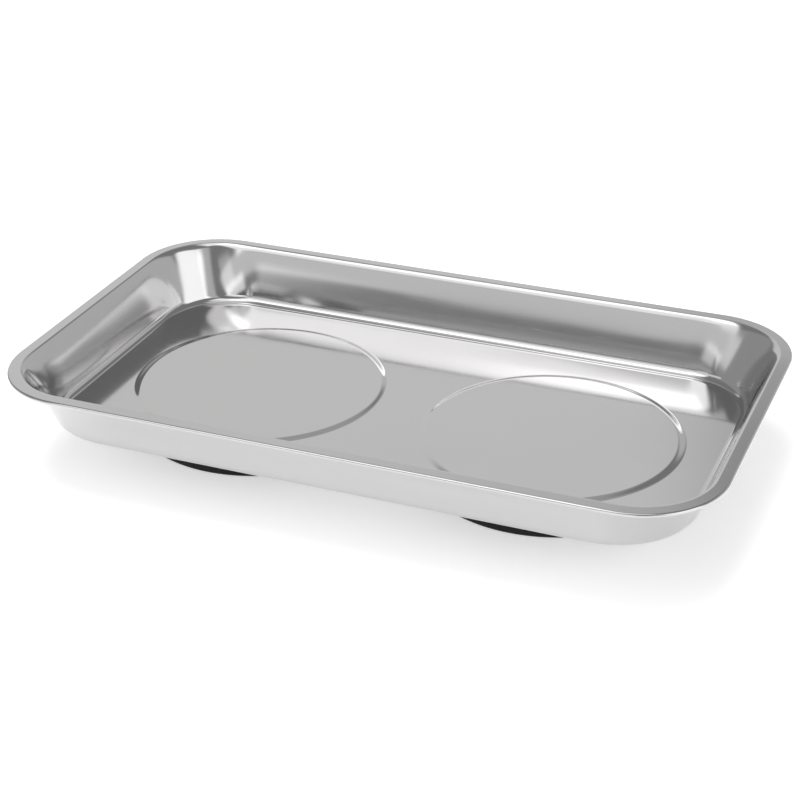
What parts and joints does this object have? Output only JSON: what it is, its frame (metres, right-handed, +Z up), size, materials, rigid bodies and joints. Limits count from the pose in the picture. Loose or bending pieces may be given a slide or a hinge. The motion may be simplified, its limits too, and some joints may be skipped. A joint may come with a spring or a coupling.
{
  "type": "magnetic parts tray",
  "caption": "Shallow rectangular stainless steel parts tray with rounded corners, an out-turned lip and raised floor pads, standing on rubber-booted ring magnet feet.",
  "frame": {"origin": "on the surface that the tray stands on, below the middle of the pan", "axes": "+X along the tray's length, +Y across it towards the wall that is at the back in the picture, +Z up out of the open top"},
  "size_m": [0.24, 0.14, 0.0322],
  "materials": {
    "stainless": "polished",
    "zinc_steel": "satin",
    "ferrite": "matte",
    "rubber": "matte",
    "nylon": "satin"
  },
  "bodies": {
    "tray": {"tray_pan": "stainless", "left_weld_stud": "zinc_steel", "left_washer": "zinc_steel", "left_lock_nut": "zinc_steel", "left_nut_ring": "nylon", "right_weld_stud": "zinc_steel", "right_washer": "zinc_steel", "right_lock_nut": "zinc_steel", "right_nut_ring": "nylon"},
    "left_foot": {"left_boot": "rubber", "left_magnet": "ferrite", "left_pole_plate": "zinc_steel"},
    "right_foot": {"right_boot": "rubber", "right_magnet": "ferrite", "right_pole_plate": "zinc_steel"}
  },
  "joints": [
    {"name": "left_foot_swivel", "type": "hinge", "parent": "tray", "child": "left_foot", "pos_m": [-0.0522, 0, 0.00875], "axis": [0, 0, 1], "continuous": true},
    {"name": "right_foot_swivel", "type": "hinge", "parent": "tray", "child": "right_foot", "pos_m": [0.0522, 0, 0.00875], "axis": [0, 0, 1], "continuous": true}
  ]
}
